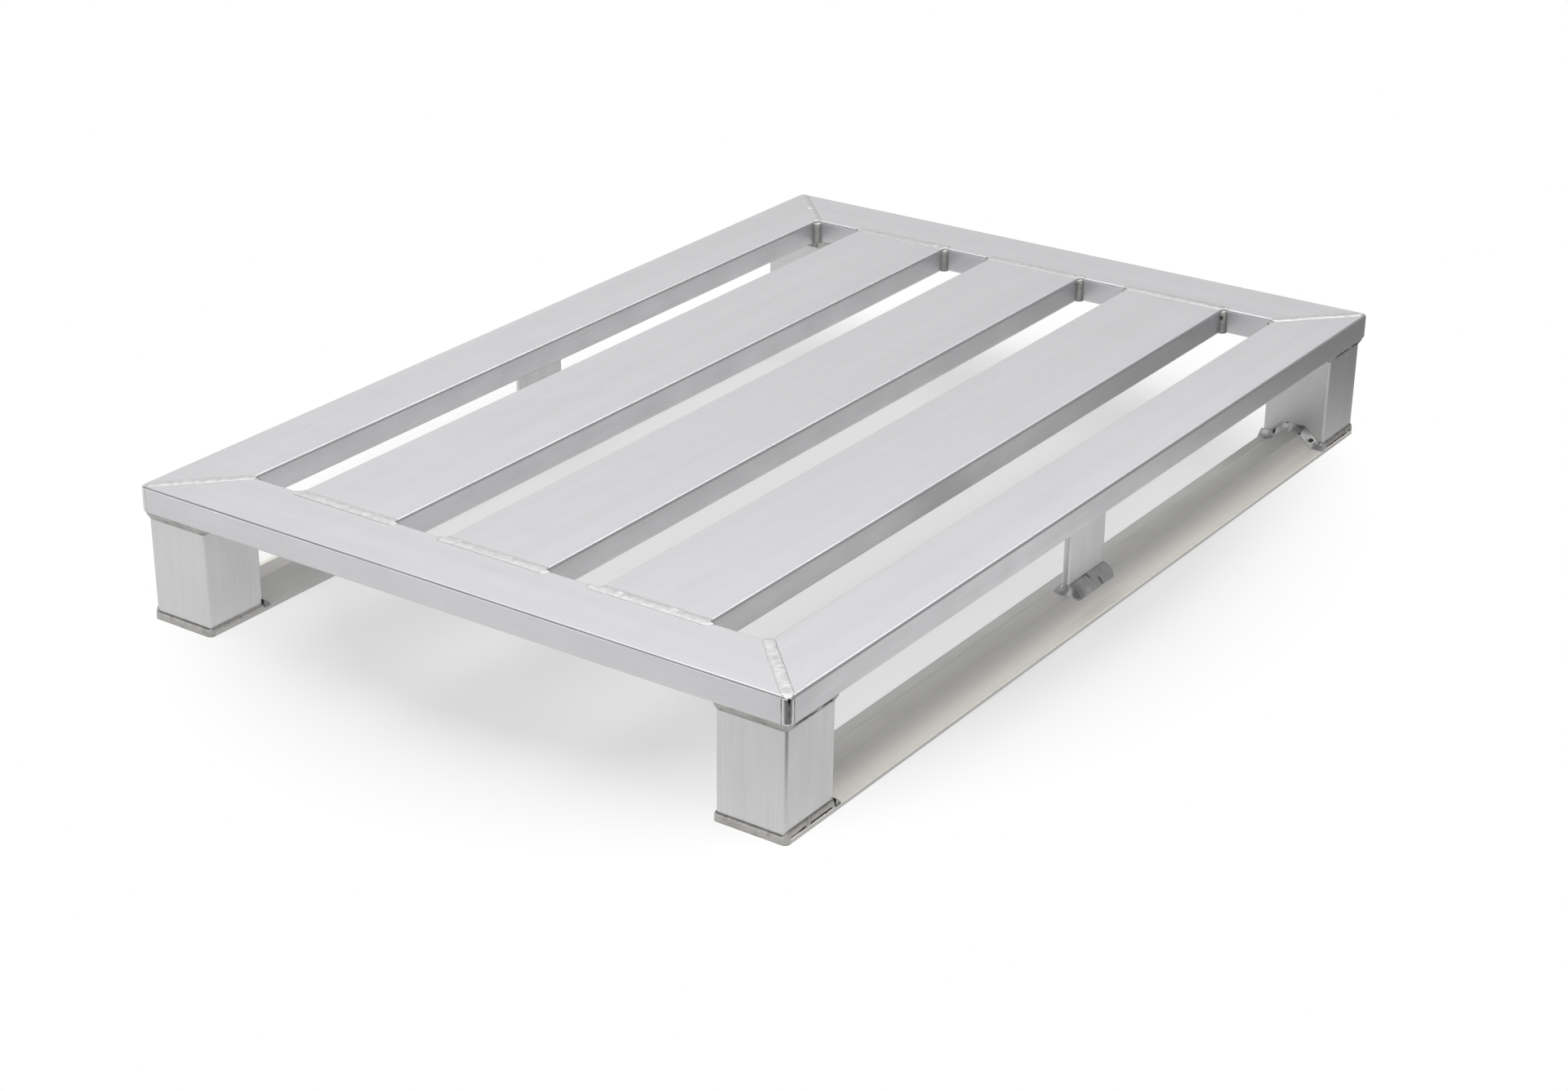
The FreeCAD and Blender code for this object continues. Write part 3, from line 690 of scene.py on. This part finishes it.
# %% Corner beads
corners = {"front_right": (1, 1), "front_left": (1, -1),
           "rear_right": (-1, 1), "rear_left": (-1, -1)}
for number, (place_name, mirror) in enumerate(corners.items()):
    seed = 11.0 + 7 * number
    over_mitre = butt_bead(**mitre, crown=0.95, pitch=2.4, depth=0.36, seed=seed, soot_and_shade_amount=0.12)
    outside = outer_corner_bead(reach=9.0, radius=7.0, rim=3.0, low=DECK, high=TOP, seed=seed + 1)
    inside = corner_bead(JOINT_X, JOINT_Y, radius=7.0, across_sign=1, low=INNER_LOW,
                         high=INNER_HIGH, pitch=3.0, depth=0.9, seed=seed + 2, soot_and_shade_amount=0.9)
    # Under the deck this bead is darkened partly as soot and partly as painted shade.
    under_deck = round_bead(**LEG, **leg_top, pitch=2.8, depth=0.22, seed=seed + 3, soot_and_shade_amount=0.36,
                            lumps=0.3, cleft=(62, 117.6, 3.4))
    at_foot = round_bead(**LEG, **leg_foot, pitch=3.0, depth=0.2, seed=seed + 4, soot_and_shade_amount=0.3,
                         lumps=0.22, cleft=(66, 5.8, 0.8), lift=2.0)
    over_ridge = ridge_bead(x=LEG_INNER_FACE, axis=RUNNER_MIDDLE, reach=8.0, pitch=2.8,
                            depth=0.4, seed=seed + 5, soot_and_shade_amount=1.0)
    make_weld("mitre_weld_" + place_name, [
        (over_mitre, bright_bead), (outside, polished_bead), (inside, smutted_bead)], mirror)
    make_weld("leg_top_weld_" + place_name, [(under_deck, smutted_bead)], mirror)
    make_weld("leg_foot_weld_" + place_name, [
        (at_foot, smutted_bead), (over_ridge, bright_bead)], mirror)
pieces = [o for o in scene.objects if o.name.endswith("_bead")]
print("corner beads", len(pieces), "faces", sum(len(o.data.polygons) for o in pieces))

# %% [markdown]
# ## Beads at the slats
# Each slat's end has a bead over the joint and one up each corner below it. The
# top bead covers both sides of the joint, and it narrows on the slat's side where
# it runs on past the slat, over the end tube alone. One bead of the six runs on
# further than the others, as it does on the real pallet.

# %% Slat beads
SLAT_HALF = 63.5                # half a slat's width
BEAD_REACH = 69.0               # from a slat's middle line to its top bead's end
LONG_REACH = 76.0               # the same, for the bead that runs on
WIDE, NARROW = 7.0, 1.6         # half widths on the slat, and past it

for number, middle in enumerate((-191.75, 0.0, 191.75), 1):
    for end_name, mirror in (("front", (1, 1)), ("rear", (-1, 1))):
        seed = 40.0 + 6 * number + (3 if end_name == "rear" else 0)
        reach_left = LONG_REACH if (number, end_name) == (1, "front") else BEAD_REACH
        length = BEAD_REACH + reach_left
        edge_near = BEAD_REACH - SLAT_HALF
        edge_far = edge_near + 2 * SLAT_HALF
        slat_side = ([0, edge_near - 1.5, edge_near + 1.5, edge_far - 1.5, edge_far + 1.5, length],
                     [NARROW, NARROW, WIDE, WIDE, NARROW, NARROW])
        top_bead = butt_bead(
            (-518.0, middle - BEAD_REACH, TOP), (-518.0, middle + reach_left, TOP), (1, 0, 0),
            low_half=([0, length], [WIDE, WIDE]), high_half=slat_side,
            crown=0.95, pitch=2.3, depth=0.4, seed=seed, soot_and_shade_amount=0.12)
        corner_beads = [corner_bead(
            JOINT_X, middle + side * SLAT_HALF, radius=6.0, across_sign=side, low=INNER_LOW,
            high=INNER_HIGH, pitch=3.0, depth=0.9, seed=seed + side, soot_and_shade_amount=0.9)
            for side in (-1, 1)]
        make_weld("slat_%d_%s_weld" % (number, end_name), [(top_bead, bright_bead)]
                  + [(bead, smutted_bead) for bead in corner_beads], mirror)
pieces = [o for o in scene.objects if o.name.endswith("_bead")]
print("slat welds", sum(o.name.startswith("slat") for o in pieces))

# %% [markdown]
# ## Beads at the middle legs
# A middle leg is a flat bar on edge. It has a small fillet under the deck, and a
# heavy one at its foot that runs down over the runner's ridge.

# %% Middle leg beads
BAR = {"centre": (10.0, RUNNER_MIDDLE), "size": (76.0, 8.0), "radius": 2.5}
bar_top_face = crowned([(0.0, 116.0), (1.5, 117.6), (3.9, 119.8), (5.0, 121.2)])
bar_top = {
    "section": np.concatenate([bar_top_face, [(4.0, 122.2), (-0.8, 122.2), (-0.8, 116.0)]]),
    "seen": len(bar_top_face)}
bar_foot_face = crowned([(0.0, 28.0), (3.2, 26.4), (6.6, 23.6), (9.8, 19.8), (12.6, 15.8),
                         (13.8, 12.8)])
bar_foot = {
    "section": np.concatenate([bar_foot_face, [(6.0, 16.2), (-0.8, 17.2), (-0.8, 28.0)]]),
    "seen": len(bar_foot_face)}
for side_name, mirror, seed in (("right", (1, 1), 90.0), ("left", (-1, -1), 95.0)):
    under_deck = round_bead(**BAR, **bar_top, pitch=2.4, depth=0.3, seed=seed, soot_and_shade_amount=0.4, lumps=0.3)
    at_foot = round_bead(**BAR, **bar_foot, pitch=3.0, depth=0.14, seed=seed + 1, soot_and_shade_amount=0.6,
                         lumps=0.45)
    make_weld("middle_leg_top_weld_" + side_name, [(under_deck, smutted_bead)], mirror)
    make_weld("middle_leg_foot_weld_" + side_name, [(at_foot, bright_bead)], mirror)
pieces = [o for o in scene.objects if o.name.endswith("_bead")]
print("beads", len(pieces), "faces", sum(len(o.data.polygons) for o in pieces))

# %% [markdown]
# ## Studio
# Bare metal has hardly a colour of its own: it shows what stands round it. So the
# studio matters as much as the finish. It is a white room, with a few places that
# are dark in the metal's reflections alone, as black cards beside a real pallet
# would be. They give the faces that turn away from the light their grey.
# Two small helpers serve both the floor and the world. One finds the rays that
# see a surface directly or in a reflection, and the other makes a soft patch
# toward one direction.

# %% Helpers for the studio
def seen_rays(tree):
    """Light path sockets, and 1 for camera, mirror and glass rays."""
    path = add_node(tree, "ShaderNodeLightPath").outputs
    seen = add_node(tree, "ShaderNodeMath", {
        0: path["Is Camera Ray"], 1: path["Is Glossy Ray"]}, operation="MAXIMUM")
    seen = add_node(tree, "ShaderNodeMath", {
        0: seen.outputs[0], 1: path["Is Transmission Ray"]}, operation="MAXIMUM")
    return path, seen.outputs[0]


def patch(tree, place, toward, start, end, before, inside, fade="LINEAR"):
    """Value that goes from before to inside as a place reaches toward a direction."""
    reach = add_node(tree, "ShaderNodeVectorMath", {0: place, 1: toward}, operation="DOT_PRODUCT")
    return add_node(tree, "ShaderNodeMapRange", {
        "Value": reach.outputs["Value"], "From Min": start, "From Max": end,
        "To Min": before, "To Max": inside}, interpolation_type=fade).outputs[0]


print("studio helpers", seen_rays.__name__, patch.__name__)

# %% [markdown]
# ### Floor
# The floor is matt white paper. Lit by the lamps alone it would come out grey far
# away, so a plain white that only direct, mirror and glass rays see is mixed in.
# Its share is less than half near the pallet, where the paper has to carry the
# shadow, and full further out. The two dark cards are seen by mirror rays alone:
# one out to the right, and one just before the near corner.

# %% Floor
FLOOR_HALF = 9.0
SHADOW_HALF_X, SHADOW_HALF_Y = 0.62, 0.46     # metres; the ellipse that holds the shadow
SHADOW_START, SHADOW_END = 0.93, 1.28         # where the white takes over, in ellipses
NEAR_WHITE, MIRROR_EXTRA = 0.42, 0.36         # share of white near the pallet
FLOOR_LEVEL = -0.0005                         # metres, just under the feet

ends = [(-1, -1), (1, -1), (1, 1), (-1, 1)]
floor_mesh = bpy.data.meshes.new("floor")
floor_mesh.from_pydata([(u * FLOOR_HALF, v * FLOOR_HALF, 0) for u, v in ends], [], [(0, 1, 2, 3)])
floor = bpy.data.objects.new("floor", floor_mesh)
floor.location.z = FLOOR_LEVEL
scene.collection.objects.link(floor)

paper, tree, output = new_material("paper_floor")
path, seen = seen_rays(tree)
place = add_node(tree, "ShaderNodeTexCoord").outputs["Object"]
footprints = add_node(tree, "ShaderNodeVectorMath", {
    0: place, 1: (1 / SHADOW_HALF_X, 1 / SHADOW_HALF_Y, 0.0)}, operation="MULTIPLY")
away = add_node(tree, "ShaderNodeVectorMath", {0: footprints.outputs[0]}, operation="LENGTH")
nearby = add_node(tree, "ShaderNodeMath", {
    0: path["Is Glossy Ray"], 1: MIRROR_EXTRA, 2: NEAR_WHITE}, operation="MULTIPLY_ADD")
whiter = add_node(tree, "ShaderNodeMapRange", {
    "Value": away.outputs["Value"], "From Min": SHADOW_START, "From Max": SHADOW_END,
    "To Min": nearby.outputs[0], "To Max": 1.0})
share = add_node(tree, "ShaderNodeMath", {0: seen, 1: whiter.outputs[0]}, operation="MULTIPLY")
lit = add_node(tree, "ShaderNodeBsdfDiffuse", {"Color": linear("#F4F4F4")})
white = add_node(tree, "ShaderNodeEmission", {"Color": (1, 1, 1, 1), "Strength": 1.0})
mixed = add_node(tree, "ShaderNodeMixShader", {
    0: share.outputs[0], 1: lit.outputs[0], 2: white.outputs[0]})
right_card = patch(tree, place, (0.80, -0.60, 0.0), start=0.45, end=0.95,
                   before=0.0, inside=0.7)
near_card = patch(tree, place, (-0.62, -0.78, 0.0), start=0.74, end=0.86,
                  before=0.0, inside=0.85)
card = add_node(tree, "ShaderNodeMath", {0: right_card, 1: near_card}, operation="MAXIMUM")
card = add_node(tree, "ShaderNodeMath", {
    0: card.outputs[0], 1: path["Is Glossy Ray"]}, operation="MULTIPLY")
black = add_node(tree, "ShaderNodeBsdfDiffuse", {"Color": linear("#202020")})
mixed = add_node(tree, "ShaderNodeMixShader", {
    0: card.outputs[0], 1: mixed.outputs[0], 2: black.outputs[0]})
tree.links.new(mixed.outputs[0], output.inputs["Surface"])
floor_mesh.materials.append(paper)
print("floor", 2 * FLOOR_HALF, "m wide")

# %% [markdown]
# ### World
# The room round the floor is white where it is seen, at a strength of 1, while
# the light that it sheds is weaker, so that the lamps can shape the bars. In the
# metal's reflections it is darker on the right and in one place high on the left,
# which gives the front edges their dark line. A camera that looks that way still
# finds plain white.

# %% World
FILL = 0.62                                   # light that the room itself sheds

world = bpy.data.worlds.new("studio")
world.use_nodes = True
tree = world.node_tree
tree.nodes.clear()
output = tree.nodes.new("ShaderNodeOutputWorld")
path, seen = seen_rays(tree)
fill = add_node(tree, "ShaderNodeBackground", {"Color": (1, 1, 1, 1), "Strength": FILL})
direction = add_node(tree, "ShaderNodeTexCoord").outputs["Generated"]
right_side = patch(tree, direction, Vector((0.80, -0.50, 0.33)).normalized(),
                   start=0.32, end=0.92, before=1.0, inside=0.38, fade="SMOOTHSTEP")
edge_card = patch(tree, direction, Vector((-0.55, 0.52, 0.62)).normalized(),
                  start=0.78, end=0.95, before=1.0, inside=0.1, fade="SMOOTHSTEP")
paleness = add_node(tree, "ShaderNodeMath", {0: right_side, 1: edge_card}, operation="MULTIPLY")
paleness = add_node(tree, "ShaderNodeMath", {
    0: paleness.outputs[0], 1: path["Is Camera Ray"]}, operation="MAXIMUM")
white = add_node(tree, "ShaderNodeBackground", {
    "Color": (1, 1, 1, 1), "Strength": paleness.outputs[0]})
mixed = add_node(tree, "ShaderNodeMixShader", {0: seen, 1: fill.outputs[0], 2: white.outputs[0]})
tree.links.new(mixed.outputs[0], output.inputs["Surface"])
scene.world = world
print("world fill", FILL)

# %% [markdown]
# ### Lamps
# Three softboxes, as a product studio has them. The big one overhead gives the
# tops their even grey, the low one on the left lights the front faces, and the
# small one, high behind on the right, adds a sheen to the tops and glints to the
# beads. The first two are large and weak, because a small strong lamp would burn
# a white spot into the metal.

# %% Lamps
LAMP_DISTANCE = 3.6                           # metres from the pallet


def softbox(name, azimuth, elevation, size, watts):
    """Area lamp of a width and a height in metres, aimed at the pallet."""
    data = bpy.data.lights.new(name, "AREA")
    data.shape = "RECTANGLE"
    data.size, data.size_y = size
    data.energy = watts
    lamp = bpy.data.objects.new(name, data)
    a, e = math.radians(azimuth), math.radians(elevation)
    back = Vector((math.sin(a) * math.cos(e), -math.cos(a) * math.cos(e), math.sin(e)))
    lamp.location = back * LAMP_DISTANCE + Vector((0, 0, 0.1))
    lamp.rotation_euler = (-back).to_track_quat("-Z", "Y").to_euler()
    scene.collection.objects.link(lamp)


softbox("softbox_top", azimuth=105, elevation=78, size=(5.0, 5.0), watts=72)
softbox("softbox_left", azimuth=-115, elevation=10, size=(4.4, 1.3), watts=18)
softbox("softbox_right", azimuth=98, elevation=45, size=(0.8, 0.8), watts=9)

# %% [markdown]
# ## Finish
# The view transform is set to Standard.

# %% Finish
scene.view_settings.view_transform = "Standard"
